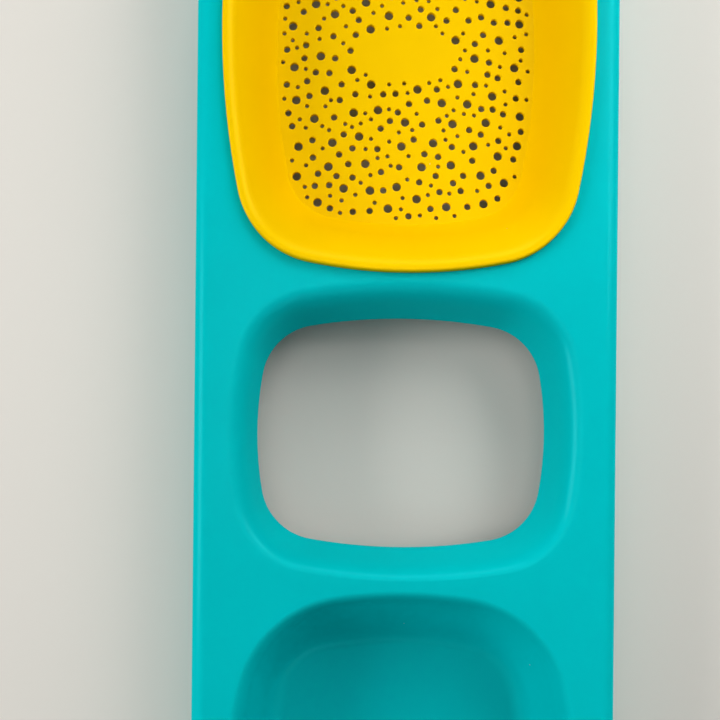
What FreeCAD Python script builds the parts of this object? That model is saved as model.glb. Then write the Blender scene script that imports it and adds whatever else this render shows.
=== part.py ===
import FreeCAD, Part
import math
import os
import random
from collections import namedtuple

# Sand sieve: a long carrier board with a hand hole in its middle, a closed basin at one end
# and a well at the other end, where a lift-out sieve pan hangs by its lip.
# Millimetres, +Z up, Y along the board, origin under the middle of the board on the ground.

V = FreeCAD.Vector
Form = namedtuple("Form", "width length corner side_turn end_turn")

# Carrier board: one thin-walled moulding, open underneath
board_height = 42.0
board_corner_radius = 45.0
board_end_turn = 14.0          # degrees from the middle of an end arc to its corner
board_wall = 2.8
deck_edge_radius = 5.0
side_flat = 4.3                # flat deck beside the widest opening
sieve_end_flat = 7.8           # flat deck beyond the sieve
basin_end_flat = 4.3           # and beyond the basin
bar_flat = 4.1                 # flat deck between the hand hole and the sieve
ridge_flat = 1.2               # and between the hand hole and the basin

# Hand hole, clear through, with a shallow wall that leans in
hand_width = 110.6
hand_length = 92.6
hand_corner_radius = 23.6
hand_side_turn = 10.0
hand_end_turn = 9.7
hand_mouth_radius = 4.4
hand_depth = 20.0              # from the deck to the foot of its wall
hand_side_run = 3.1            # how far the wall leans in at the sides
hand_end_run = 4.7             # and at the ends
hand_foot_corner_radius = 21.4

# Basin: its floor is narrower and much shorter than its mouth
basin_width = 118.1
basin_length = 165.8
basin_corner_radius = 39.5
basin_side_run = 5.8           # how far a side wall leans in
basin_end_run = 17.9           # how far an end wall slopes in
basin_floor_corner_radius = 27.0
basin_mouth_radius = 4.5
basin_foot_radius = 5.0
basin_lift = 1.7               # air between the basin's underside and the ground

# The sieve, its well and the basin share the bow of their sides and ends
bow_side_turn = 11.5
bow_end_turn = 11.5

# Stiffening ribs under the deck
rib_thickness = 1.8
rib_depth = 14.0
rib_spacing = 25.0

# Sieve pan: a lip on the deck, then a wall in two slopes, the shoulder and a steeper part below it
lip_width = 127.0
lip_length = 168.0
lip_corner_radius = 30.4
lip_height = 3.0               # how far the lip stands above the deck
lip_round_share = 0.8          # share of the lip's height that its outer rounding takes
lip_land = 3.2                 # from the lip's outer side to the dish
lip_play = 0.2                 # deck kept free all round the lip
pan_wall = 2.0
shoulder_side_run = 5.4        # how far the shoulder slopes in at the sides
shoulder_end_run = 8.0         # and at the ends
shoulder_corner_radius = 24.0
shoulder_drop = 8.0            # from the lip's crest to the foot of the shoulder
wall_side_run = 6.4            # how far the steeper part leans in at the sides
wall_end_run = 9.1             # and at the ends
floor_corner_radius = 20.5
pan_depth = 25.0               # from the lip's crest to the floor

# Sieve well, clear through, cut to suit the pan
seat_clearance = 0.5           # between the pan's shoulder and the well's bevelled mouth
well_clearance = 0.7           # between the pan's wall and the well's

# Pierced screen, the pan's floor inside a narrow border
screen_border = 1.2
screen_step = 0.6              # how far the screen lies below the border
field_margin = 1.2             # unpierced edge of the screen
hole_diameter = 3.2
hole_count = 83
hole_sides = 6                 # six-sided prisms stand for the round holes and keep the model light
hole_gap = 1.2                 # least width of plastic between two holes
blank_width = 38.0             # plain oval in the middle of the screen
blank_length = 19.2
pattern_seed = 11
pattern_tries = 40

edge_steps = 3                 # narrow bevels that make up a rounded edge of the board
foot_steps = 2                 # those at the foot of the basin
lip_steps = 2                  # and those on the lip
overrun = 5.0                  # how far a cutting tool runs past what it cuts

hand_reach = hand_length / 2 + hand_mouth_radius
basin_reach = basin_length / 2 + basin_mouth_radius
sieve_reach = lip_length / 2 + lip_play
half_width = max(
    lip_width / 2 + lip_play,
    hand_width / 2 + hand_mouth_radius,
    basin_width / 2 + basin_mouth_radius,
)

# From the middle of the hand hole to the middles of the basin and the sieve, and to the board's ends
basin_pitch = hand_reach + ridge_flat + basin_reach
sieve_pitch = hand_reach + bar_flat + sieve_reach
basin_side = basin_pitch + basin_reach + basin_end_flat + deck_edge_radius
sieve_side = sieve_pitch + sieve_reach + sieve_end_flat + deck_edge_radius
board_width = 2 * (half_width + side_flat + deck_edge_radius)
board_length = basin_side + sieve_side

# Where those middles lie along the board, from the board's own middle
hand_place = (basin_side - sieve_side) / 2
basin_place = hand_place - basin_pitch
sieve_place = hand_place + sieve_pitch

board = Form(board_width, board_length, board_corner_radius, 0, board_end_turn)
hand_hole = Form(hand_width, hand_length, hand_corner_radius, hand_side_turn, hand_end_turn)
hand_foot = hand_hole._replace(
    width=hand_width - 2 * hand_side_run,
    length=hand_length - 2 * hand_end_run,
    corner=hand_foot_corner_radius,
)
basin = Form(basin_width, basin_length, basin_corner_radius, bow_side_turn, bow_end_turn)
basin_floor = Form(
    basin_width - 2 * basin_side_run,
    basin_length - 2 * basin_end_run,
    basin_floor_corner_radius,
    bow_side_turn,
    bow_end_turn,
)
lip = Form(lip_width, lip_length, lip_corner_radius, bow_side_turn, bow_end_turn)


def grown(form, by):
    """The parallel outline that lies a distance outside a form, or inside it if that is negative."""
    return form._replace(
        width=form.width + 2 * by, length=form.length + 2 * by, corner=form.corner + by
    )


deck_z = board_height
crest_z = deck_z + lip_height
shoulder_z = crest_z - shoulder_drop
floor_z = crest_z - pan_depth
underside_z = floor_z - pan_wall
basin_floor_z = basin_lift + board_wall
hand_foot_z = deck_z - hand_depth

dish = grown(lip, -lip_land)
shoulder = dish._replace(
    width=dish.width - 2 * shoulder_side_run,
    length=dish.length - 2 * shoulder_end_run,
    corner=shoulder_corner_radius,
)
dish_floor = shoulder._replace(
    width=shoulder.width - 2 * wall_side_run,
    length=shoulder.length - 2 * wall_end_run,
    corner=floor_corner_radius,
)
screen = grown(dish_floor, -screen_border)

# The underside of the sloping shoulder, one wall below it, leaves the lip at the deck this far
# outside the dish, and the well's mouth opens a clearance further out
side_slope = math.atan2(shoulder_drop, shoulder_side_run)
mean_slope = math.atan2(shoulder_drop, (shoulder_side_run + shoulder_end_run) / 2)
root_growth = (pan_wall / math.cos(side_slope) - lip_height) / math.tan(side_slope)
under_shoulder_z = shoulder_z - pan_wall * math.tan(math.pi / 4 - mean_slope / 2)
pan_root = grown(dish, root_growth)
well_mouth = grown(pan_root, seat_clearance)

# The well's bevel runs parallel to that underside at the pan's sides, where it is steepest
under_run = shoulder_side_run + root_growth - pan_wall
seat_run = under_run + seat_clearance - well_clearance
seat_depth = seat_run * (deck_z - under_shoulder_z) / under_run
well = grown(well_mouth, -seat_run)


def corner_centre(form):
    """Centre of a form's corner arc, and the radii of its side and end arcs (a straight side has none).

    The corner arc is tangent to the side arc, which turns side_turn degrees from its middle,
    and to the end arc, which turns end_turn degrees from its own.
    """
    side, end = math.radians(form.side_turn), math.radians(form.end_turn)
    across, along = form.width / 2 - form.corner, form.length / 2 - form.corner
    lean_side, lean_end = math.tan(side / 2), math.tan(end / 2)
    spread = 1 - lean_side * lean_end
    end_reach = (across - along * lean_side) / (math.sin(end) * spread)
    side_reach = (along - across * lean_end) / (math.sin(side) * spread) if side else None
    centre = V(end_reach * math.sin(end), along - end_reach * (1 - math.cos(end)), 0)
    side_radius = side_reach + form.corner if side else None
    return centre, side_radius, end_reach + form.corner


def outline(form, z, y=0):
    """Closed outline of a form at a height: four corner arcs, bowed or straight sides, bowed ends."""
    centre, side_radius, _ = corner_centre(form)
    side, end = math.radians(form.side_turn), math.radians(form.end_turn)
    quarter = math.pi / 2
    corner = [
        centre + V(math.cos(a), math.sin(a), 0) * form.corner
        for a in (side, (side + quarter - end) / 2, quarter - end)
    ]

    def place(point, flip_x, flip_y):
        return V(flip_x * point.x, y + flip_y * point.y, z)

    edges = []
    for flip_x, flip_y in ((1, 1), (-1, 1), (-1, -1), (1, -1)):
        goes_to_end = flip_x == flip_y
        turn = corner if goes_to_end else corner[::-1]
        start, middle, stop = [place(p, flip_x, flip_y) for p in turn]
        edges.append(Part.Arc(start, middle, stop).toShape())
        if goes_to_end:
            crown, ahead = V(0, y + flip_y * form.length / 2, z), place(turn[-1], -flip_x, flip_y)
        else:
            crown, ahead = V(flip_x * form.width / 2, y, z), place(turn[-1], flip_x, -flip_y)
        straight = side_radius is None and not goes_to_end
        bow = Part.LineSegment(stop, ahead) if straight else Part.Arc(stop, crown, ahead)
        edges.append(bow.toShape())
    return Part.Wire(edges)


def stack(levels, y=0):
    """Solid through the outlines of (form, z) levels, ruled from each to the next."""
    return Part.makeLoft([outline(form, z, y) for form, z in levels], True, True)


def rounding(form, radius, z, steps, rise=1, flare=1):
    """Levels of a quarter round that starts upright at z, and ends flat one radius above or below it.

    rise is +1 for a round that climbs and -1 for one that descends;
    flare is +1 where it opens outwards and -1 where it closes inwards.
    """
    levels = []
    for step in range(steps + 1):
        turn = math.pi / 2 * step / steps
        levels.append(
            (grown(form, flare * radius * (1 - math.cos(turn))), z + rise * radius * math.sin(turn))
        )
    return levels


def hand_levels():
    """The hand hole: a wall that leans in, under a rounded mouth in the deck."""
    mouth = rounding(hand_hole, hand_mouth_radius, deck_z - hand_mouth_radius, edge_steps)
    return [(hand_foot, -overrun), (hand_foot, hand_foot_z), *mouth, (mouth[-1][0], deck_z + overrun)]


def well_levels():
    """The sieve's well: an upright wall under a bevelled mouth that the pan's shoulder clears."""
    return [
        (well, -overrun),
        (well, deck_z - seat_depth),
        (well_mouth, deck_z),
        (well_mouth, deck_z + overrun),
    ]


def basin_levels():
    """The basin, from its floor up: a rounded foot, leaning walls and a rounded mouth in the deck."""
    foot_z = basin_floor_z + basin_foot_radius
    foot = rounding(basin_floor, basin_foot_radius, foot_z, foot_steps, -1, -1)
    mouth = rounding(basin, basin_mouth_radius, deck_z - basin_mouth_radius, edge_steps)
    return [*foot[::-1], *mouth, (mouth[-1][0], deck_z + overrun)]


def hand_jacket():
    """The outside of the hand hole's leaning wall."""
    foot, rim = grown(hand_foot, board_wall), grown(hand_hole, board_wall)
    return stack(
        [(foot, hand_foot_z), (rim, deck_z - hand_mouth_radius), (rim, deck_z)], hand_place
    )


def well_jacket():
    """The outside of the well's upright wall."""
    outside = grown(well, board_wall)
    return stack([(outside, -overrun), (outside, deck_z)], sieve_place)


def basin_jacket():
    """The outside of the basin's floor and walls."""
    foot, rim = grown(basin_floor, board_wall), grown(basin, board_wall)
    return stack(
        [
            (grown(foot, -basin_foot_radius), basin_lift),
            (foot, basin_lift + basin_foot_radius),
            (rim, deck_z - basin_mouth_radius),
            (rim, deck_z),
        ],
        basin_place,
    )


def rib_plates():
    """Upright plates along the whole board; only what lies in the hollow becomes ribs."""
    foot = deck_z - board_wall - rib_depth
    plates = []
    for place in (-rib_spacing, 0, rib_spacing):
        corner = V(place - rib_thickness / 2, -board_length / 2, foot)
        plates.append(Part.makeBox(rib_thickness, board_length, board_height, corner))
    return plates


def carrier_board():
    """The board: a long block with rounded edges, opened three times and hollowed from below."""
    edge = rounding(board, deck_edge_radius, deck_z - deck_edge_radius, edge_steps, flare=-1)
    block = stack([(board, 0), *edge])
    openings = [
        stack(hand_levels(), hand_place),
        stack(well_levels(), sieve_place),
        stack(basin_levels(), basin_place),
    ]
    inside = grown(board, -board_wall)
    hollow = stack([(inside, -overrun), (inside, deck_z - board_wall)])
    hollow = hollow.cut([hand_jacket(), well_jacket(), basin_jacket(), *rib_plates()])
    return block.cut(openings).cut(hollow)


def pan_inside():
    """The space in the dish, from its steep wall and its shoulder up past the lip's crest."""
    levels = [(dish_floor, floor_z), (shoulder, shoulder_z), (dish, crest_z), (dish, crest_z + overrun)]
    return stack(levels, sieve_place)


def sieve_pan():
    """Lip, shoulder and steep wall of the pan, down to the border round the screen."""
    lip_round = lip_height * lip_round_share
    edge = rounding(lip, lip_round, crest_z - lip_round, lip_steps, flare=-1)
    rim = stack([(lip, deck_z), *edge], sieve_place)
    body = stack(
        [
            (grown(dish_floor, pan_wall), underside_z),
            (grown(shoulder, pan_wall), under_shoulder_z),
            (pan_root, deck_z),
            (pan_root, crest_z - lip_round),
        ],
        sieve_place,
    )
    window = stack([(screen, underside_z - overrun), (screen, crest_z)], sieve_place)
    return rim.fuse(body).cut([pan_inside(), window])


def edge_distance(form, x, y):
    """How far a point lies inside a form's outline; negative outside it."""
    centre, side_radius, end_radius = corner_centre(form)
    x, y = abs(x), abs(y)
    side_x = form.width / 2 - side_radius
    end_y = form.length / 2 - end_radius
    if math.degrees(math.atan2(y, x - side_x)) < form.side_turn:
        return side_radius - math.hypot(x - side_x, y)
    if math.degrees(math.atan2(x, y - end_y)) < form.end_turn:
        return end_radius - math.hypot(x, y - end_y)
    return form.corner - math.hypot(x - centre.x, y - centre.y)


def hole_pattern():
    """Centres of scattered holes: each is put at the roomiest of several random places."""
    rng = random.Random(pattern_seed)
    radius = hole_diameter / 2
    holes = []

    def room(x, y):
        blank = math.hypot(x / (blank_width / 2 + radius), y / (blank_length / 2 + radius))
        if blank < 1 or edge_distance(screen, x, y) < field_margin + radius:
            return 0
        return min((math.hypot(x - far_x, y - far_y) for far_x, far_y in holes), default=screen.length)

    for _ in range(hole_count):
        places = []
        for _ in range(pattern_tries):
            x = rng.uniform(-screen.width / 2, screen.width / 2)
            y = rng.uniform(-screen.length / 2, screen.length / 2)
            places.append((room(x, y), x, y))
        best, x, y = max(places)
        if best > hole_diameter + hole_gap:
            holes.append((x, y))
    return holes


def prism_outline(x, y, z):
    """The closed outline of one hole of the screen."""
    corners = []
    for step in range(hole_sides + 1):
        turn = 2 * math.pi * step / hole_sides
        corners.append(V(x, y, z) + V(math.cos(turn), math.sin(turn), 0) * (hole_diameter / 2))
    return Part.makePolygon(corners)


def sieve_screen():
    """The thin floor with its scattered holes and a plain oval in the middle."""
    top = floor_z - screen_step
    wires = [outline(screen, top, sieve_place)]
    for x, y in hole_pattern():
        wires.append(prism_outline(x, sieve_place + y, top))
    face = Part.makeFace(wires, "Part::FaceMakerBullseye")
    return face.extrude(V(0, 0, underside_z - top))


def main():
    os.makedirs("parts", exist_ok=True)
    for make in (carrier_board, sieve_pan, sieve_screen):
        shape = make()
        shape.exportStep(f"parts/{make.__name__}.step")
        box = shape.BoundBox
        print(
            make.__name__,
            "valid" if shape.isValid() else "NOT VALID",
            f"{len(shape.Solids)} solid, {len(shape.Faces)} faces, {shape.Volume / 1000:.1f} cm3,",
            f"{box.XLength:.1f} x {box.YLength:.1f} x {box.ZLength:.1f} mm",
        )


main()
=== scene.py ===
# %% [markdown]
# # A sand sieve: a moulded board with a hand hole and a basin, and a sieve pan that lifts out
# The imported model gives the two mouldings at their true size, with their rounded edges cut into
# a few flat bevels. This lesson keeps that model as a fixed frame and lays smooth skins over it.
# Each skin is worked out as whole arrays: an outline, a profile that climbs round it, and a grid
# of points where the two meet.

import math
import random

import bmesh
import bpy
import numpy as np
from mathutils.geometry import delaunay_2d_cdt
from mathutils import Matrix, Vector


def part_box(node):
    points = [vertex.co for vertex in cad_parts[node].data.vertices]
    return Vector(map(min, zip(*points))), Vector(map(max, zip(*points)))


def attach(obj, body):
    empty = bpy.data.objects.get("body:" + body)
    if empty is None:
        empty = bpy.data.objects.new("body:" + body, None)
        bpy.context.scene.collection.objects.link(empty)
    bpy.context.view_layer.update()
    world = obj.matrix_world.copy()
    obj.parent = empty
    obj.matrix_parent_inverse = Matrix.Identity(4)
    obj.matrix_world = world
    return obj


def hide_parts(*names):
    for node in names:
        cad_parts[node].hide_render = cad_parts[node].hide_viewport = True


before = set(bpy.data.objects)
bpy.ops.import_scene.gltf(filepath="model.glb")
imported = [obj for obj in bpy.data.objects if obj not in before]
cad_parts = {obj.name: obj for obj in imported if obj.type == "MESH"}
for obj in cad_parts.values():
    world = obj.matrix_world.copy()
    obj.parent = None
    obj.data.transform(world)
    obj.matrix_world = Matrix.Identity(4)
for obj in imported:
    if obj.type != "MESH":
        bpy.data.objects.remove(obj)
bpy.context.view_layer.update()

# %% [markdown]
# ## Sizes
# A skin must not drift from the solid that it covers. So the overall sizes and the heights are
# read from the frame, and only the moulding's own sizes are written down, here and in the cells
# where they are first needed: walls, radii and how far each wall leans. All are in millimetres,
# and they are turned into metres only when a mesh is made.

# %% Sizes of the two mouldings
MM = 0.001


def box_mm(node):
    """Lowest and highest corner of a node, in millimetres."""
    return [np.array(corner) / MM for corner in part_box(node)]


board_low, board_high = box_mm("carrier_board")
pan_low, pan_high = box_mm("sieve_pan")
screen_low, screen_high = box_mm("sieve_screen")
BOARD_WIDTH, BOARD_LENGTH = (board_high - board_low)[:2]
LIP_WIDTH, LIP_LENGTH = (pan_high - pan_low)[:2]
SCREEN_WIDTH, SCREEN_LENGTH = (screen_high - screen_low)[:2]
DECK, CREST = board_high[2], pan_high[2]
PAN_BASE = pan_low[2]
SCREEN_TOP, SCREEN_BASE = screen_high[2], screen_low[2]
SIEVE_Y = (pan_low[1] + pan_high[1]) / 2
BASIN_Y = -139.3
WALL, PAN_WALL = 2.8, 2.0
print("board", (board_high - board_low).round(1), "pan", (pan_high - pan_low).round(1))
print("deck at", round(DECK, 1), "crest at", round(CREST, 1), "sieve at y", round(SIEVE_Y, 1))

# %% [markdown]
# ## The outline family
# Seen from above, every edge of this toy is a soft rectangle: four corner arcs, joined by sides
# and ends that bow outwards a little. A bevelled box would give straight sides, and a drawn
# curve could not be matched with the next one. A convex outline can be walked by the direction
# of its normal. Where every outline uses the same directions, two of them can be blended or
# offset point by point, and nothing twists.

# %% An outline walked by its normals
CORNER_STEPS, BOW_STEPS = 22, 9


def soft_rectangle(width, length, corner, side_turn, end_turn):
    """Points and outward normals of a soft rectangle, anticlockwise from the middle of its +X side.

    A quarter has half a side arc, a corner arc and half an end arc, tangent where they meet. For
    an arc of centre c and radius r, the point whose normal has the angle a is
    c + r (cos a, sin a). The side arc turns side_turn degrees and the end arc end_turn, which
    fixes both radii; a side that turns by nothing is a straight line.
    """
    side, end = math.radians(side_turn), math.radians(end_turn)
    across, along = width / 2 - corner, length / 2 - corner
    lean_side, lean_end = math.tan(side / 2), math.tan(end / 2)
    spread = 1 - lean_side * lean_end
    end_reach = (across - along * lean_side) / (math.sin(end) * spread)
    centre = np.array([end_reach * math.sin(end), along - end_reach * (1 - math.cos(end))])
    if side:
        side_radius = (along - across * lean_end) / (math.sin(side) * spread) + corner
        turn = np.linspace(0, side, BOW_STEPS, endpoint=False)
        flank_x = width / 2 - side_radius * (1 - np.cos(turn))
        flank = np.stack([flank_x, side_radius * np.sin(turn)], 1)
    else:
        turn = np.zeros(BOW_STEPS)
        flank_y = np.linspace(0, centre[1], BOW_STEPS, endpoint=False)
        flank = np.stack([turn + width / 2, flank_y], 1)
    bend = np.linspace(side, math.pi / 2 - end, CORNER_STEPS, endpoint=False)
    round_part = centre + corner * np.stack([np.cos(bend), np.sin(bend)], 1)
    crown = np.linspace(math.pi / 2 - end, math.pi / 2, BOW_STEPS + 1)
    end_radius = end_reach + corner
    top_y = length / 2 - end_radius * (1 - np.sin(crown))
    top = np.stack([end_radius * np.cos(crown), top_y], 1)
    angle = np.concatenate([turn, bend, crown])
    points = np.concatenate([flank, round_part, top])
    normals = np.stack([np.cos(angle), np.sin(angle)], 1)
    upper = [np.concatenate([a, (a * [-1, 1])[-2::-1]]) for a in (points, normals)]
    return [np.concatenate([a, (a * [1, -1])[-2:0:-1]]) for a in upper]


print("a quarter of an outline has", CORNER_STEPS + 2 * BOW_STEPS + 1, "points")

# %% [markdown]
# The two mouldings need twelve such outlines. Each is given by its width, its length, its corner
# radius, and the degrees that a side and an end turn. The hand hole and the basin lie off the
# board's middle by fractions of a millimetre, so their outlines are shifted after that.

# %% The twelve outlines
BOW, HAND_BOW, BASIN_BOW, BOARD_BOW = (11.5, 11.5), (10.0, 9.7), (11.5, 8.5), (0, 14.0)
LIP_REACH = 0.6
BASIN_SHIFT = (-0.25, -0.3)
PLANS = {
    "board": (BOARD_WIDTH, BOARD_LENGTH, 45.0, *BOARD_BOW),
    "hand mouth": (122.4, 103.8, 29.0, *HAND_BOW),
    "hand wall": (110.6, 92.6, 23.6, *HAND_BOW),
    "hand foot": (104.4, 83.2, 21.4, *HAND_BOW),
    "well mouth": (122.4, 163.4, 28.1, *BOW),
    "well": (115.3, 156.3, 24.5, *BOW),
    "basin": (117.9, 164.4, 38.0, *BASIN_BOW),
    "basin floor": (106.5, 130.0, 27.0, *BOW),
    "lip": (LIP_WIDTH, LIP_LENGTH + 2 * LIP_REACH, 30.4, *BOW),
    "shoulder": (109.8, 145.6, 24.0, *BOW),
    "pan floor": (97.0, 127.4, 20.5, *BOW),
    "screen": (SCREEN_WIDTH, SCREEN_LENGTH, 19.3, *BOW),
}
SHIFTS = {
    "hand mouth": (-0.2, 0.9),
    "hand foot": (-0.7, -0.2),
    "basin": BASIN_SHIFT,
    "basin floor": BASIN_SHIFT,
}
forms = {name: soft_rectangle(*plan) for name, plan in PLANS.items()}
for name, shift in SHIFTS.items():
    forms[name][0][:] += shift
print(len(forms), "outlines of", len(forms["lip"][0]), "points")

# %% [markdown]
# ## Walls as profiles carried round an outline
# A wall is a stack of rings, and a ring is an outline at a height. Stacking the rings gives a
# grid of points, and the grid's cells are the faces. Because all rings use the same directions,
# one can be mixed with another as whole arrays. So a fillet is a run of mixed rings, and its
# highlight runs unbroken round the whole edge, even where a wall changes from one outline to
# another on its way down. A Bevel modifier could not follow such a change.

# %% Rings, mixes and rounds
ROUND_STEPS = 10


def ring(name, offset, z):
    """The ring of a named outline, moved out along its normals by an offset, at height z."""
    points, normals = forms[name]
    return np.column_stack([points + offset * normals, np.full(len(points), z)])


def mix(first, second, share):
    """The ring a share of the way from the first to the second, or in line beyond them."""
    return first * (1 - share) + second * share


def bend(first, corner, last, steps=ROUND_STEPS):
    """Rings of a smooth bend: (1 - t)^2 first + 2 t (1 - t) corner + t^2 last, t from 0 to 1."""
    t = np.linspace(0, 1, steps + 1)[:, None, None]
    return list((1 - t) ** 2 * first + 2 * t * (1 - t) * corner + t**2 * last)


def round_over(flat, upright, steps=ROUND_STEPS):
    """Rings of a quarter ellipse from a ring on a flat face to a ring on an upright wall.

    At turn a the place is mixed by sin a and the height by 1 - cos a.
    """
    turn = np.linspace(0, math.pi / 2, steps + 1)
    share = np.stack([np.sin(turn), np.sin(turn), 1 - np.cos(turn)], 1)[:, None, :]
    return list(flat * (1 - share) + upright * share)


def stack(rings, y=0.0):
    """Grid of rings, moved along the board by y."""
    grid = np.stack(rings)
    grid[..., 1] += y
    return grid


print("a bend has", ROUND_STEPS + 1, "rings unless a wall asks for more")

# %% [markdown]
# The deck, the roof under it, the basin's bed and the sieve's floor are flat, with odd shapes cut
# out of them. A Boolean would leave long thin faces and open seams there. Instead the edge loops
# of the neighbouring walls are triangulated with all their edges kept, so the flat parts meet
# the walls point for point.

# %% Faces of grids and of flat parts
SAME_POINT, TINY = 1e-7, 1e-12


def ring_faces(rows, columns, first=0):
    """Quads of a grid that closes on itself round its columns, as vertex numbers."""
    row, column = np.meshgrid(np.arange(rows - 1), np.arange(columns), indexing="ij")
    after = (column + 1) % columns
    here, there = row * columns, (row + 1) * columns
    quads = np.stack([here + column, here + after, there + after, there + column], -1)
    return quads.reshape(-1, 4) + first


def inside(loop, points):
    """True where a point lies in a closed loop: a ray to +X crosses it an odd number of times."""
    a, b = loop, np.roll(loop, -1, 0)
    x, y = points[:, 0, None], points[:, 1, None]
    straddles = (a[:, 1] > y) != (b[:, 1] > y)
    rise = np.where(b[:, 1] == a[:, 1], TINY, b[:, 1] - a[:, 1])
    crossing = a[:, 0] + (y - a[:, 1]) * (b[:, 0] - a[:, 0]) / rise
    return (straddles & (x < crossing)).sum(1) % 2 == 1


def fill_flat(loops, keep, z, up=True):
    """Points and triangles of a flat region at height z, with the given loops as its edges.

    A triangle a, b, c stays where keep says that its middle lies in the region. It is turned so
    that it faces up or down, by the sign of the cross product of b - a and c - a.
    """
    counts = [len(loop) for loop in loops]
    numbers = np.arange(sum(counts))
    first = np.repeat(np.cumsum([0] + counts[:-1]), counts)
    after = first + (numbers - first + 1) % np.repeat(counts, counts)
    corners, edges = np.concatenate(loops), np.stack([numbers, after], 1)
    filled = delaunay_2d_cdt(corners.tolist(), edges.tolist(), [], 0, SAME_POINT)
    points = np.array([point[:] for point in filled[0]])
    faces = np.array([face for face in filled[2] if len(face) == 3])
    faces = faces[keep(points[faces].mean(1))]
    a, b, c = (points[faces[:, i]] for i in range(3))
    ab, ac = b - a, c - a
    turned = ab[:, 0] * ac[:, 1] - ab[:, 1] * ac[:, 0] < 0
    faces[turned] = faces[turned][:, ::-1]
    if not up:
        faces = faces[:, ::-1]
    return np.column_stack([points, np.full(len(points), z)]), faces


def fill_between(loops, z, up):
    """Flat fill inside the first loop and outside the rest."""
    flat = [loop[:, :2] for loop in loops]

    def keep(middle):
        found = inside(flat[0], middle)
        for loop in flat[1:]:
            found &= ~inside(loop, middle)
        return found

    return fill_flat(flat, keep, z, up)


print("a band between two rings of a lip has", len(ring_faces(2, len(forms["lip"][0]))), "quads")

# %% [markdown]
# A skin is made of several such grids and flat fills. They share their edge points exactly, so
# merging doubles sews them into one closed mesh, and its normals are then worked out once for
# the whole.

# %% Sew grids and fills into one mesh object
SMOOTH_DEGREES, SEAM = 38.0, 2e-6


def sew(name, grids, fills):
    """One mesh object from ring grids (rows x columns x 3) and flat fills (points, triangles)."""
    vertices, faces = [], []
    count = 0
    for grid in grids:
        rows, columns = grid.shape[:2]
        faces += ring_faces(rows, columns, count).tolist()
        vertices.append(grid.reshape(-1, 3))
        count += rows * columns
    for points, triangles in fills:
        faces += (triangles + count).tolist()
        vertices.append(points)
        count += len(points)
    mesh = bpy.data.meshes.new(name)
    mesh.from_pydata((np.concatenate(vertices) * MM).tolist(), [], faces)
    piece = bpy.data.objects.new(name, mesh)
    bpy.context.collection.objects.link(piece)
    shell = bmesh.new()
    shell.from_mesh(mesh)
    bmesh.ops.remove_doubles(shell, verts=shell.verts, dist=SEAM)
    bmesh.ops.recalc_face_normals(shell, faces=shell.faces)
    print(name, "has", sum(not edge.is_manifold for edge in shell.edges), "open edges")
    shell.to_mesh(mesh)
    shell.free()
    mesh.polygons.foreach_set("use_smooth", np.ones(len(mesh.polygons), bool))
    mesh.set_sharp_from_angle(angle=math.radians(SMOOTH_DEGREES))
    print(name, "has", len(mesh.vertices), "points and", len(mesh.polygons), "faces")
    return piece


print("points nearer than", SEAM / MM, "mm are sewn together")

# %% [markdown]
# ## The board
# The real board is one thin shell: a skirt that stands on the sand, a flat deck with a softly
# rounded edge, and three walls that hang down from it. A sheet with a Solidify modifier would be
# quicker, but its foot would be square and its corners under the roof sharp. So the skirt's
# outside, its foot and its inside are one profile, and so are the walls of the two openings.

# %% The skirt, inside and out
ROOF = DECK - WALL
EDGE, FOOT, FILLET, COLLAR = 5.0, 0.5, 0.8, 0.4
EDGE_STEPS, FOOT_STEPS, FILLET_STEPS = 14, 3, 5


def hanging_wall(name, offset, top, z=0.0):
    """Rings round a wall's foot at height z, from its near side to its far side, and to the roof.

    The last ring lies on the roof, a collar's width out, so that the roof's flat shading starts
    there.
    """
    side = 1 if offset > 0 else -1
    near = round_over(ring(name, side * FOOT, z), ring(name, 0.0, z + FOOT), FOOT_STEPS)
    far = round_over(
        ring(name, offset - side * FOOT, z), ring(name, offset, z + FOOT), FOOT_STEPS
    )
    fillet = round_over(
        ring(top, offset + side * FILLET, ROOF), ring(top, offset, ROOF - FILLET), FILLET_STEPS
    )
    return near[::-1] + far + fillet[::-1] + [ring(top, offset + side * (FILLET + COLLAR), ROOF)]


deck_edge = [ring("board", -EDGE - COLLAR, DECK)]
deck_edge += round_over(ring("board", -EDGE, DECK), ring("board", 0.0, DECK - EDGE), EDGE_STEPS)
skirt = stack(deck_edge + hanging_wall("board", -WALL, "board"))
print("the skirt climbs through", len(skirt), "rings")

# %% [markdown]
# The hand hole goes clear through. Fingers curl over its wall, so the wall is shallow, leans in
# all the way down, and starts in a wide soft bend from the deck. The wall is a straight mix of
# two outlines, and mixing past the upper one gives the corner that the bend is drawn towards.

# %% The hand hole
HAND_FOOT, HAND_RIM, HAND_BEND, HAND_GAP = 22.0, 37.6, 9.0, 2.0
HAND_STEPS, HAND_ROWS = 18, 4


def hand_ring(z, offset=0.0):
    """The hand hole's leaning wall at height z, in line with itself above its rim."""
    share = (z - HAND_FOOT) / (HAND_RIM - HAND_FOOT)
    return mix(ring("hand foot", offset, z), ring("hand wall", offset, z), share)


hand_rings = [ring("hand mouth", COLLAR, DECK)]
hand_rings += bend(
    ring("hand mouth", 0.0, DECK), hand_ring(DECK), hand_ring(DECK - HAND_BEND), HAND_STEPS
)
hand_heights = np.linspace(DECK - HAND_BEND - HAND_GAP, HAND_FOOT + HAND_GAP, HAND_ROWS)
hand_rings += [hand_ring(z) for z in hand_heights]
hand_wall = stack(hand_rings + hanging_wall("hand foot", WALL, "hand wall", HAND_FOOT))
print("the hand hole has", len(hand_wall), "rings")

# %% [markdown]
# The well that holds the sieve goes down to the ground. Its mouth is a plain bevel, as the
# sieve's lip hides it.

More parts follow.
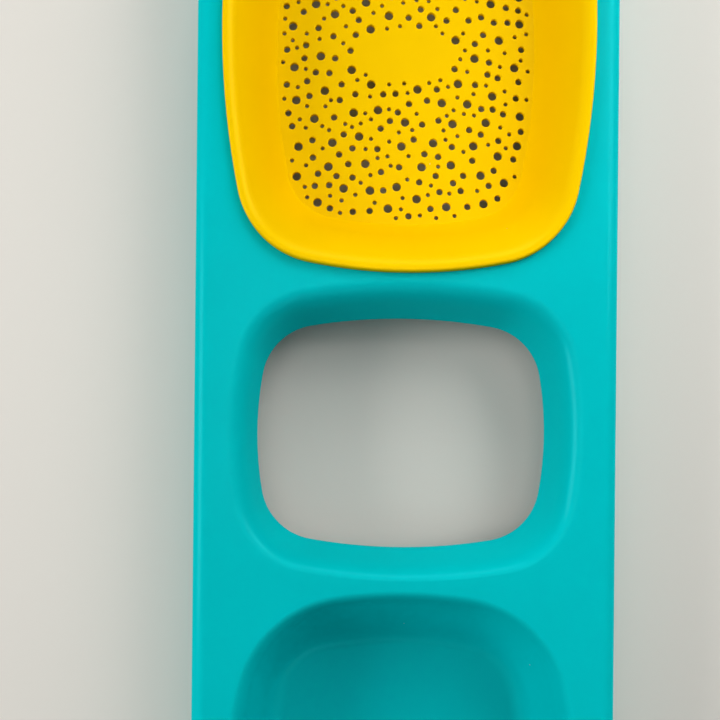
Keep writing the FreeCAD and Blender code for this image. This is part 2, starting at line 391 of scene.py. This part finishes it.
# %% The well
WELL_BEVEL = 5.4
well_mouth = [ring("well mouth", offset, DECK) for offset in (COLLAR, 0.0)]
well_mouth += [ring("well", 0.0, DECK - WELL_BEVEL)]
well_wall = stack(well_mouth + hanging_wall("well", WALL, "well"), SIEVE_Y)
print("the well has", len(well_wall), "rings")

# %% [markdown]
# The basin is the one wall whose outline changes much on the way down: its ends slope while its
# sides stay steep. Its mouth is a soft roll from the deck, drawn towards a ring a little inside
# the roll's start. Its foot is a bend too, drawn towards the corner where the wall's straight
# line nearly meets the floor.

# %% The basin, inside
BASIN_FLOOR = 4.5
MOUTH_TOP, WALL_FOOT = DECK - 4.5, BASIN_FLOOR + 5.0
MOUTH_ROUND, MOUTH_CORNER, MOUTH_DROP, MOUTH_TUCK, MOUTH_STEPS = 3.4, 0.9, 5.5, 0.5, 16
WALL_START, WALL_END, WALL_ROWS = 8.5, 10.0, 8
FOOT_ROUND, FOOT_START, FOOT_CORNER, BASIN_FOOT_STEPS = 7.0, 8.0, 0.3, 14


def basin_ring(z, offset=0.0):
    """The basin's sloping wall at height z, in line with itself above its mouth and below."""
    share = (MOUTH_TOP - z) / (MOUTH_TOP - WALL_FOOT)
    return mix(ring("basin", offset, z), ring("basin floor", offset, z), share)


basin_rings = [ring("basin", MOUTH_ROUND + COLLAR, DECK)]
basin_rings += bend(
    ring("basin", MOUTH_ROUND, DECK),
    ring("basin", MOUTH_CORNER, DECK),
    basin_ring(DECK - MOUTH_DROP, -MOUTH_TUCK),
    MOUTH_STEPS,
)
basin_heights = np.linspace(DECK - WALL_START, BASIN_FLOOR + WALL_END, WALL_ROWS)
basin_rings += [basin_ring(z) for z in basin_heights]
basin_rings += bend(
    basin_ring(BASIN_FLOOR + FOOT_START),
    basin_ring(BASIN_FLOOR + FOOT_CORNER),
    ring("basin floor", -FOOT_ROUND, BASIN_FLOOR),
    BASIN_FOOT_STEPS,
)
basin_rings += [ring("basin floor", -FOOT_ROUND - COLLAR, BASIN_FLOOR)]
basin_inside = stack(basin_rings, BASIN_Y)
print("the basin has", len(basin_inside), "rings inside")

# %% [markdown]
# The underside of the basin shows only when the toy is turned over. It follows the inside at the
# wall's thickness and ends in a bend to a flat base, a little above the ground.

# %% The basin, underneath
UNDER = BASIN_FLOOR - WALL
UNDER_ROUND, UNDER_END, UNDER_ROWS, UNDER_STEPS = 6.0, 9.0, 9, 8
under_rings = [basin_ring(ROOF, WALL + COLLAR)]
under_rings += [basin_ring(z, WALL) for z in np.linspace(ROOF, UNDER + UNDER_END, UNDER_ROWS)]
under_rings += bend(
    basin_ring(UNDER + UNDER_ROUND, WALL),
    basin_ring(UNDER, WALL),
    ring("basin floor", -UNDER_ROUND, UNDER),
    UNDER_STEPS,
)
under_rings += [ring("basin floor", -UNDER_ROUND - COLLAR, UNDER)]
basin_outside = stack(under_rings, BASIN_Y)
print("the basin has", len(basin_outside), "rings underneath, down to", round(UNDER, 1))

# %% [markdown]
# The walls are joined by four flat parts: the deck, the roof under it, the basin's bed and its
# base. Together they close the shell, which has to have no open edge.

# %% The flat parts and the skin of the board
walls = [skirt, hand_wall, well_wall, basin_inside]
deck_outlines = [wall[0] for wall in walls]
roof_outlines = [skirt[-1], hand_wall[-1], well_wall[-1], basin_outside[0]]
flats = [
    fill_between(deck_outlines, DECK, True),
    fill_between(roof_outlines, ROOF, False),
    fill_between([basin_inside[-1]], BASIN_FLOOR, True),
    fill_between([basin_outside[-1]], UNDER, False),
]
board_skin = sew("board_skin", walls + [basin_outside], flats)

# %% [markdown]
# Thin ribs stiffen the bars between the openings and the two ends. They are hidden from above
# and show only when the toy is turned over. Each is a plate whose ends follow the walls on either
# side, so its eight corners come from two heights of the same two walls.

# %% Where the ribs meet the walls
RIB, RIB_DEPTH, SUNK = 1.8, 14.0, 0.7
RIB_X = (-25.0, 0.0, 25.0)
RIB_HEIGHTS = (ROOF - RIB_DEPTH, ROOF + SUNK)
SPANS = (("skirt", "basin"), ("basin", "hand"), ("hand", "well"), ("well", "skirt"))
rib_walls = {
    "skirt": [ring("board", -WALL, z) for z in RIB_HEIGHTS],
    "hand": [hand_ring(min(z, HAND_RIM), WALL) for z in RIB_HEIGHTS],
    "well": stack([ring("well", WALL, z) for z in RIB_HEIGHTS], SIEVE_Y),
    "basin": stack([basin_ring(min(z, ROOF), WALL) for z in RIB_HEIGHTS], BASIN_Y),
}


def reach_at(loop, x, low):
    """Where a loop crosses a given x, on its -Y side or on its +Y side."""
    middle = loop[:, 1].mean()
    side = loop[loop[:, 1] < middle] if low else loop[loop[:, 1] > middle]
    order = np.argsort(side[:, 0])
    return float(np.interp(x, side[order, 0], side[order, 1]))


def rib_corners(x, from_wall, to_wall):
    """Eight corners of a rib: at each height, from one wall's face to the other's, and sunk in."""
    corners = []
    for k, z in enumerate(RIB_HEIGHTS):
        low = reach_at(rib_walls[from_wall][k], x, from_wall == "skirt") - SUNK
        high = reach_at(rib_walls[to_wall][k], x, to_wall != "skirt") + SUNK
        corners += [(x + side * RIB / 2, y, z) for y in (low, high) for side in (-1, 1)]
    return corners


ribs = [rib_corners(x, *span) for x in RIB_X for span in SPANS]
for span, rib in zip(SPANS, ribs):
    print("rib from", span[0], round(rib[0][1]), "to", span[1], round(rib[2][1]))

# %% [markdown]
# The plates are one mesh, so the ribs are one piece with one finish.

# %% The ribs as one mesh
PLATE = [[0, 2, 3, 1], [4, 5, 7, 6], [0, 1, 5, 4], [2, 6, 7, 3], [0, 4, 6, 2], [1, 3, 7, 5]]
rib_points = np.array(ribs).reshape(-1, 3) * MM
rib_faces = np.array(PLATE) + 8 * np.arange(len(ribs))[:, None, None]
rib_mesh = bpy.data.meshes.new("deck_ribs")
rib_mesh.from_pydata(rib_points.tolist(), [], rib_faces.reshape(-1, 4).tolist())
deck_ribs = bpy.data.objects.new("deck_ribs", rib_mesh)
bpy.context.collection.objects.link(deck_ribs)
print("the ribs are", len(ribs), "plates with", len(rib_mesh.polygons), "faces")

# %% [markdown]
# ## The sieve pan
# One closed profile runs all the way round the pan: up the lip's outer side, over its crest, down
# the wall, which gets steeper as it goes, over a soft foot to the narrow border, and back outside
# underneath. On the real pan the wall has no crease at all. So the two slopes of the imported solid
# become one long bend, and only its ends differ from its sides, because three outlines are mixed.

# %% The pan's visible side
LIP_ROUND, LIP_FLAT, LAND, SHOULDER_DROP = 0.9, 0.1, 3.2, 8.0
RIM_END, FOLD_START, FOLD_END, FOOT_BEGIN, FOOT_PEAK = 0.34, 0.4, 0.42, 0.46, 0.9
BORDER_START = 1.1
RIM_STEPS, FOLD_STEPS, PAN_FOOT_STEPS = 12, 18, 20
rim = ring("lip", -LAND, CREST)
fold = ring("shoulder", 0.0, CREST - SHOULDER_DROP)
foot = ring("pan floor", 0.0, SCREEN_TOP)
foot_end = ring("pan floor", -BORDER_START, SCREEN_TOP)
lip_side = round_over(ring("lip", -LIP_ROUND, CREST), ring("lip", 0.0, CREST - LIP_ROUND))
lip_crest = ring("lip", -LIP_ROUND - LIP_FLAT, CREST)
pan_rings = [ring("lip", 0.0, DECK)] + lip_side[::-1]
pan_rings += bend(lip_crest, rim, mix(rim, fold, RIM_END), RIM_STEPS)
pan_rings += bend(mix(rim, fold, FOLD_START), fold, mix(fold, foot, FOLD_END), FOLD_STEPS)
pan_rings += bend(
    mix(fold, foot, FOOT_BEGIN), mix(fold, foot, FOOT_PEAK), foot_end, PAN_FOOT_STEPS
)
print("the pan's visible side has", len(pan_rings), "rings")

# %% [markdown]
# The pan's back is plain: a base ring round the pierced floor, a small round at the base, the
# outside of the wall, and the flat seat of the lip. Its fold lies a little deeper than the one
# in front, so that the leaning wall keeps its thickness.

# %% The pan's hidden side, and its skin
BASE_ROUND, FOLD_DEEPER, SEAT_ROOM = 0.6, 0.7, 0.35
hidden = [
    ring("screen", 0.0, SCREEN_TOP),
    ring("screen", 0.0, PAN_BASE),
    ring("pan floor", PAN_WALL - BASE_ROUND, PAN_BASE),
    ring("pan floor", PAN_WALL, PAN_BASE + BASE_ROUND),
    ring("shoulder", PAN_WALL, CREST - SHOULDER_DROP - FOLD_DEEPER),
    ring("lip", SEAT_ROOM - LAND, DECK),
    ring("lip", 0.0, DECK),
]
pan_skin = sew("pan_skin", [stack(pan_rings + hidden, SIEVE_Y)], [])

# %% [markdown]
# ## The pierced floor
# About four hundred round holes of three sizes lie in a loose scatter round a plain oval. A grid
# of holes would look machine-made, and purely random places would run into each other. So each
# new hole goes to the roomiest of several random places, which spaces them evenly with no rows,
# and the largest are placed first. The seed is fixed, so the floor is the same on every run.

# %% Scatter the holes
EDGE_ROOM, HOLE_ROOM, OVAL = 1.2, 1.2, (19.0, 9.6)
MIXED_PULL, MIXED_START = 2.1, 0.4
SEED, TRIES = 11, 40
# Diameter, the most holes of that size, and the sides of the tube through each.
HOLE_SIZES = ((3.2, 83, 24), (2.4, 141, 20), (1.55, 176, 16))


def edge_room(x, y):
    """How far a point lies inside the floor's outline: its least distance to a tangent there."""
    points, normals = forms["screen"]
    inward = (points[:, 0] - x) * normals[:, 0] + (points[:, 1] - y) * normals[:, 1]
    return float(inward.min())


def room(placed, x, y, radius):
    """How roomy a place is for a hole: 0 on the oval or the edge, else its least gap to a hole.

    The gap is the distance apart between two holes of one size, and otherwise grows with the
    plastic left between them.
    """
    oval = math.hypot(x / (OVAL[0] + radius), y / (OVAL[1] + radius))
    if oval < 1 or edge_room(x, y) < EDGE_ROOM + radius:
        return 0
    gaps = []
    for far_x, far_y, far, _ in placed:
        apart = math.hypot(x - far_x, y - far_y)
        mixed = MIXED_PULL * (apart - far - radius) + MIXED_START
        gaps.append(apart if far == radius else mixed)
    return min(gaps, default=SCREEN_LENGTH)


def scatter():
    """The holes as rows of (x, y, radius, sides)."""
    rng = random.Random(SEED)
    placed = []
    for diameter, count, sides in HOLE_SIZES:
        radius = diameter / 2
        for _ in range(count):
            places = []
            for _ in range(TRIES):
                x = rng.uniform(-SCREEN_WIDTH / 2, SCREEN_WIDTH / 2)
                y = rng.uniform(-SCREEN_LENGTH / 2, SCREEN_LENGTH / 2)
                places.append((room(placed, x, y, radius), x, y))
            best, x, y = max(places)
            if best > diameter + HOLE_ROOM:
                placed.append((x, y, radius, sides))
    return np.array(placed)


holes = scatter()
print("holes", [int((holes[:, 2] == size[0] / 2).sum()) for size in HOLE_SIZES])

# %% [markdown]
# The floor is two flat fills, top and bottom, joined by a short tube through every hole. The
# tube's top edge is turned over by a fraction of a millimetre, because it is that tiny round
# that catches the light round each hole.

# %% The tubes through the floor
LAP, TURNED, TURN_SHARE = 0.3, 0.16, 0.3


def hole_tubes(diameter, sides):
    """The tubes of all holes of one size as one array: holes x levels x sides x 3.

    A level is a circle, centre + r (cos t, sin t), whose radius and height follow the turned edge.
    """
    chosen = holes[holes[:, 2] == diameter / 2]
    turn = np.linspace(0, 2 * math.pi, sides, endpoint=False)
    radii = diameter / 2 + np.array([LAP, TURNED, TURNED * TURN_SHARE, 0.0, 0.0])
    depths = np.array([0.0, 0.0, TURNED * TURN_SHARE, TURNED, SCREEN_TOP - SCREEN_BASE])
    x = chosen[:, 0, None, None] + radii[:, None] * np.cos(turn)
    y = chosen[:, 1, None, None] + radii[:, None] * np.sin(turn)
    z = np.broadcast_to((SCREEN_TOP - depths)[:, None], x.shape)
    return np.stack([x, y, z], -1)


tubes = [hole_tubes(diameter, sides) for diameter, _, sides in HOLE_SIZES]
print("tubes", [group.shape for group in tubes])

# %% [markdown]
# The flat fills also put triangles across the holes. A test of each against each ring would be
# slow, but the holes are round, so the distance from a hole's centre tells which triangles lie
# inside it.


# %% The skin of the pierced floor
def around_holes(extra):
    """A test that keeps what lies outside every hole.

    Inside a hole's many-sided ring of radius r, the middle of a triangle lies at most
    r (1 + 2 cos a) / 3 from the centre, where a is the angle of one side; outside it, at least
    r cos (a / 2). The limit lies between the two.
    """
    angle = 2 * math.pi / holes[:, 3]
    limit = (holes[:, 2] + extra) * ((1 + 2 * np.cos(angle)) / 3 + np.cos(angle / 2)) / 2

    def keep(middle):
        apart = np.hypot(middle[:, None, 0] - holes[:, 0], middle[:, None, 1] - holes[:, 1])
        return inside(forms["screen"][0], middle) & (apart > limit).all(1)

    return keep


outer = forms["screen"][0]
top_loops = [outer] + [loop for group in tubes for loop in group[:, 0, :, :2]]
base_loops = [outer] + [loop for group in tubes for loop in group[:, -1, :, :2]]
screen_fills = [
    fill_flat(top_loops, around_holes(LAP), SCREEN_TOP, True),
    fill_flat(base_loops, around_holes(0.0), SCREEN_BASE, False),
]
screen_side = stack([ring("screen", 0.0, z) for z in (SCREEN_BASE, SCREEN_TOP)])
screen_grids = [screen_side] + [tube for group in tubes for tube in group]
to_sieve = np.array([0.0, SIEVE_Y, 0.0])
screen_skin = sew(
    "screen_skin",
    [grid + to_sieve for grid in screen_grids],
    [(points + to_sieve, triangles) for points, triangles in screen_fills],
)

# %% [markdown]
# ## Moulded plastic
# Both mouldings are a satin polypropylene. Its colour goes right through, so what makes it look
# like plastic is the surface: a very fine grain from the mould, a softer waviness, and a shine
# that varies a little where hands and sand have rubbed. A few pale specks are sand dust. All of
# it is worked out from Object coordinates, so it needs no unwrapping and stays with the piece.

# %% A helper that adds shader nodes
COLOUR_A, COLOUR_B, MIXED_COLOUR = 6, 7, 2


def node(tree, kind, x, y, **values):
    """A new shader node with its place set, and its settings or sockets by their names."""
    made = tree.nodes.new(kind)
    made.location = (x, y)
    for key, value in values.items():
        if hasattr(made, key):
            setattr(made, key, value)
        else:
            made.inputs[key.replace("_", " ")].default_value = value
    return made


def texture(tree, place, kind, x, y, **values):
    """A texture node that reads the given coordinates."""
    made = node(tree, kind, x, y, **values)
    tree.links.new(place, made.inputs["Vector"])
    return made


print("a colour mix takes sockets", COLOUR_A, "and", COLOUR_B, "and gives", MIXED_COLOUR)

# %% [markdown]
# A flat colour would look painted on. The real plastic's colour drifts by a few percent over
# some centimetres, and sand dust sits on it in rare specks, so the colour is built in two mixes.

# %% The plastic's colour
CLOUD_SHARE = 0.035
SPECK_SIZE, SPECK_RARITY, DUST = 0.055, 0.73, (0.62, 0.53, 0.42, 1.0)


def plastic_colour(tree, place, colour, dusty):
    """The colour socket: the base times a faint large cloud, then dust.

    Dust lies where a small Voronoi cell has its centre and a second noise allows it.
    """
    link = tree.links.new
    cloud = texture(tree, place, "ShaderNodeTexNoise", -1050, 300, Scale=14.0, Detail=3.0)
    shade = node(tree, "ShaderNodeMapRange", -800, 300, From_Min=0.3, From_Max=0.7)
    shade.inputs["To Min"].default_value = 1 - CLOUD_SHARE
    shade.inputs["To Max"].default_value = 1 + CLOUD_SHARE
    link(cloud.outputs["Fac"], shade.inputs["Value"])
    tint = node(tree, "ShaderNodeMix", -500, 300, data_type="RGBA", blend_type="MULTIPLY")
    tint.inputs["Factor"].default_value = 1.0
    tint.inputs[COLOUR_A].default_value = (*colour, 1.0)
    link(shade.outputs["Result"], tint.inputs[COLOUR_B])
    specks = texture(tree, place, "ShaderNodeTexVoronoi", -1050, 560, Scale=170.0)
    thin = texture(tree, place, "ShaderNodeTexNoise", -1050, 800, Scale=90.0, Detail=0.0)
    near = node(tree, "ShaderNodeMath", -800, 560, operation="LESS_THAN")
    near.inputs[1].default_value = SPECK_SIZE
    link(specks.outputs["Distance"], near.inputs[0])
    allow = node(tree, "ShaderNodeMath", -800, 800, operation="GREATER_THAN")
    allow.inputs[1].default_value = SPECK_RARITY
    link(thin.outputs["Fac"], allow.inputs[0])
    both = node(tree, "ShaderNodeMath", -600, 680, operation="MULTIPLY")
    link(near.outputs[0], both.inputs[0])
    link(allow.outputs[0], both.inputs[1])
    much = node(tree, "ShaderNodeMath", -420, 680, operation="MULTIPLY")
    much.inputs[1].default_value = dusty
    link(both.outputs[0], much.inputs[0])
    dust = node(tree, "ShaderNodeMix", -200, 400, data_type="RGBA")
    dust.inputs[COLOUR_B].default_value = DUST
    link(much.outputs[0], dust.inputs["Factor"])
    link(tint.outputs[MIXED_COLOUR], dust.inputs[COLOUR_A])
    return dust.outputs[MIXED_COLOUR]


print("sand dust has the colour", DUST[:3])

# %% [markdown]
# The shine is uneven because hands and sand rub it. The mould's own texture is far too small to
# model: a grain of under a millimetre and a waviness of some centimetres, both as bump.

# %% The plastic's shine and texture
SHINE_DOWN, SHINE_UP = 0.05, 0.1
WAVE_DEPTH, GRAIN_DEPTH = 0.0008, 0.00006


def rubbed_shine(tree, place, shine):
    """The roughness socket: the given shine, a little lower or higher with a cloudy noise."""
    rubbed = texture(
        tree, place, "ShaderNodeTexNoise", -1050, 50, Scale=55.0, Detail=5.0, Roughness=0.65
    )
    gloss = node(tree, "ShaderNodeMapRange", -800, 50, From_Min=0.3, From_Max=0.75)
    gloss.inputs["To Min"].default_value = shine - SHINE_DOWN
    gloss.inputs["To Max"].default_value = shine + SHINE_UP
    tree.links.new(rubbed.outputs["Fac"], gloss.inputs["Value"])
    return gloss.outputs["Result"]


def moulded_texture(tree, place):
    """The normal socket: a fine grain on top of a slow waviness, each a noise taken as height."""
    link = tree.links.new
    grain = texture(tree, place, "ShaderNodeTexNoise", -1050, -200, Scale=1500.0, Detail=2.0)
    wave = texture(tree, place, "ShaderNodeTexNoise", -1050, -450, Scale=42.0, Detail=1.0)
    waviness = node(tree, "ShaderNodeBump", -100, -350, Strength=0.12, Distance=WAVE_DEPTH)
    fine = node(tree, "ShaderNodeBump", 200, -250, Strength=0.16, Distance=GRAIN_DEPTH)
    link(wave.outputs["Fac"], waviness.inputs["Height"])
    link(grain.outputs["Fac"], fine.inputs["Height"])
    link(waviness.outputs["Normal"], fine.inputs["Normal"])
    return fine.outputs["Normal"]


print("depth of the waviness and of the grain, mm", [d / MM for d in (WAVE_DEPTH, GRAIN_DEPTH)])

# %% [markdown]
# In the photograph the broad gloss has the plastic's own colour, so a low metallic share tints
# it, and a thin coat adds the fine white lights along the rims. In the board some light also goes
# a few millimetres into the plastic and comes out beside, which softens its shaded walls. The
# pan is too thin for that.

# %% One recipe for both plastics
SURFACE = {
    "IOR": 1.49,
    "Specular IOR Level": 0.0,
    "Metallic": 0.08,
    "Subsurface Radius": (0.6, 1.0, 1.0),
    "Subsurface Scale": 0.004,
    "Coat Weight": 0.035,
    "Coat Roughness": 0.22,
}


def moulded_plastic(name, colour, sheen, dusty, shine, milky):
    """Satin plastic of one colour, with tinted gloss, some dust, and a share of milky depth."""
    made = bpy.data.materials.new(name)
    made.use_nodes = True
    tree = made.node_tree
    tree.nodes.clear()
    out = node(tree, "ShaderNodeOutputMaterial", 900, 0)
    shader = node(tree, "ShaderNodeBsdfPrincipled", 600, 0)
    settings = {**SURFACE, "Specular Tint": (*sheen, 1.0), "Subsurface Weight": milky}
    for socket, value in settings.items():
        shader.inputs[socket].default_value = value
    place = node(tree, "ShaderNodeTexCoord", -1300, 0).outputs["Object"]
    tree.links.new(plastic_colour(tree, place, colour, dusty), shader.inputs["Base Color"])
    tree.links.new(rubbed_shine(tree, place, shine), shader.inputs["Roughness"])
    tree.links.new(moulded_texture(tree, place), shader.inputs["Normal"])
    tree.links.new(shader.outputs["BSDF"], out.inputs["Surface"])
    print(name, "has", len(tree.nodes), "nodes")
    return made


def linear(red, green, blue):
    """A colour read off a screen, 0 to 255, as the linear numbers that a shader wants.

    A level v is v / 12.92 up to 0.04045, and ((v + 0.055) / 1.055) to the power of 2.4 above.
    """
    levels = np.array([red, green, blue]) / 255
    return tuple(np.where(levels <= 0.04045, levels / 12.92, ((levels + 0.055) / 1.055) ** 2.4))


turquoise = moulded_plastic(
    "turquoise_plastic",
    linear(0, 178, 182),
    sheen=(0.1, 0.9, 1.0),
    dusty=0.45,
    shine=0.46,
    milky=0.6,
)
yellow = moulded_plastic(
    "yellow_plastic",
    linear(226, 184, 0),
    sheen=(1.0, 0.85, 0.1),
    dusty=0.5,
    shine=0.38,
    milky=0.0,
)
for piece in (board_skin, deck_ribs):
    piece.data.materials.append(turquoise)
for piece in (pan_skin, screen_skin):
    piece.data.materials.append(yellow)

# %% [markdown]
# ## Tie the skins to the bodies
# Each skin rides on the body that it dresses and stands for the node under it, so the sieve's
# skins lift with the sieve when its joint moves.

# %% Ride and replace
for piece, body, nodes, slot in (
    (board_skin, "carrier", ["carrier_board"], "board_plastic"),
    (deck_ribs, "carrier", [], "board_plastic"),
    (pan_skin, "sieve", ["sieve_pan"], "sieve_plastic"),
    (screen_skin, "sieve", ["sieve_screen"], "sieve_plastic"),
):
    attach(piece, body)
    if nodes:
        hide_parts(*nodes)
print("dressed", len(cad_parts), "nodes")

# %% [markdown]
# ## Floor, light and camera
# The floor is plain and pale, in one colour, so that nothing competes with the toy.

# %% Floor
FLOOR_REACH = 3.0
corners = [(FLOOR_REACH * x, FLOOR_REACH * y, 0) for x, y in ((-1, -1), (1, -1), (1, 1), (-1, 1))]
floor_mesh = bpy.data.meshes.new("floor")
floor_mesh.from_pydata(corners, [], [(0, 1, 2, 3)])
floor = bpy.data.objects.new("floor", floor_mesh)
bpy.context.collection.objects.link(floor)
pale = bpy.data.materials.new("pale_floor")
pale.use_nodes = True
pale_shader = pale.node_tree.nodes["Principled BSDF"]
pale_shader.inputs["Roughness"].default_value = 0.9
pale_shader.inputs["Base Color"].default_value = (0.68, 0.645, 0.59, 1.0)
floor_mesh.materials.append(pale)
print("the floor is", 2 * FLOOR_REACH, "m wide")

# %% [markdown]
# The photograph has open daylight that comes mostly from the board's left, and less over its far
# end. One lamp would leave the other walls black. So five square lamps share the work: two wide
# ones for the left and the far sky, a weak one for the near sky, one low on the right for the
# walls that face it, and a small one overhead that evens out the deck.


# %% Lamps
def area_lamp(name, place, target, size, power):
    """A square lamp of a given width and power in watts that points at a target.

    Its tilt is the angle between the line to the target and straight down, and its yaw is the
    direction of that line on the floor.
    """
    light = bpy.data.lights.new(name, "AREA")
    light.shape, light.size, light.energy = "SQUARE", size, power
    lamp = bpy.data.objects.new(name, light)
    bpy.context.collection.objects.link(lamp)
    back = np.array(place) - np.array(target)
    yaw = math.atan2(back[1], back[0]) + math.pi / 2
    lamp.location = place
    lamp.rotation_euler = (math.atan2(math.hypot(back[0], back[1]), back[2]), 0, yaw)


# Place, target, width and watts of each lamp.
LAMPS = {
    "left_sky": ((-1.6454, 0.0, 0.95), (0, 0, 0), 0.9, 23.5),
    "far_sky": ((0.0, 1.6454, 0.95), (0, 0, 0), 0.9, 9.5),
    "near_sky": ((0.6, -1.5, 0.95), (0, 0, 0), 0.9, 2.4),
    "right_near": ((0.45, 0.4, 0.5), (0, 0.1, 0), 0.5, 4.1),
    "overhead": ((-0.02, 0.05, 0.42), (-0.02, 0.05, 0), 0.25, 0.32),
}
for name, settings in LAMPS.items():
    area_lamp(name, *settings)
print("lamps", {name: settings[3] for name, settings in LAMPS.items()})

# %% [markdown]
# The sky fills in the shade evenly, and it is also what shows behind the floor and in gloss. As
# light it is weak, so that the lamps shape the toy. Where a camera, glossy or transmitted ray
# meets it, it is pale.

# %% Sky
SKY_AS_LIGHT, SKY_AS_SEEN = 0.125, 0.8
world = bpy.data.worlds.new("sky")
bpy.context.scene.world = world
world.use_nodes = True
sky_tree = world.node_tree
sky = sky_tree.nodes["Background"]
sky.inputs["Color"].default_value = (0.97, 0.98, 1.0, 1.0)
ray = node(sky_tree, "ShaderNodeLightPath", -1000, 0)
seen = ray.outputs["Is Camera Ray"]
for column, kind in enumerate(("Is Glossy Ray", "Is Transmission Ray")):
    either = node(sky_tree, "ShaderNodeMath", -800 + 200 * column, 0, operation="MAXIMUM")
    sky_tree.links.new(seen, either.inputs[0])
    sky_tree.links.new(ray.outputs[kind], either.inputs[1])
    seen = either.outputs[0]
strength = node(
    sky_tree, "ShaderNodeMapRange", -400, 0, To_Min=SKY_AS_LIGHT, To_Max=SKY_AS_SEEN
)
sky_tree.links.new(seen, strength.inputs["Value"])
sky_tree.links.new(strength.outputs["Result"], sky.inputs["Strength"])
print("sky", SKY_AS_LIGHT, "as light and", SKY_AS_SEEN, "as seen")

# %% [markdown]
# The camera looks straight down from 28 cm above the deck. The board's middle line lies right of
# the picture's middle, and the point right below the camera lies under it, so the camera stands
# to the left and its picture is shifted up by a tenth of its width. The board is turned in the
# picture by half a degree.

# %% Camera
MM_PER_PIXEL, FOCAL_PIXELS, PICTURE_PIXELS = 0.341, 824.0, 720
BOARD_RIGHT, STRAIGHT_BELOW, TURN = 45.5, 432, 0.0095
SENSOR = 36.0
camera_data = bpy.data.cameras.new("camera")
camera = bpy.data.objects.new("camera", camera_data)
bpy.context.collection.objects.link(camera)
camera_data.sensor_width = SENSOR
camera_data.lens = SENSOR * FOCAL_PIXELS / PICTURE_PIXELS
camera_data.shift_y = (STRAIGHT_BELOW - PICTURE_PIXELS / 2) / PICTURE_PIXELS
camera_data.clip_start = 0.01
camera_height = DECK * MM + FOCAL_PIXELS * MM_PER_PIXEL * MM
camera.location = (-BOARD_RIGHT * MM_PER_PIXEL * MM, 0, camera_height)
camera.rotation_euler = (0, 0, TURN)
bpy.context.scene.camera = camera
bpy.context.scene.view_settings.view_transform = "Standard"
print("camera at", round(camera_height, 3), "m with a lens of", round(camera_data.lens, 1), "mm")
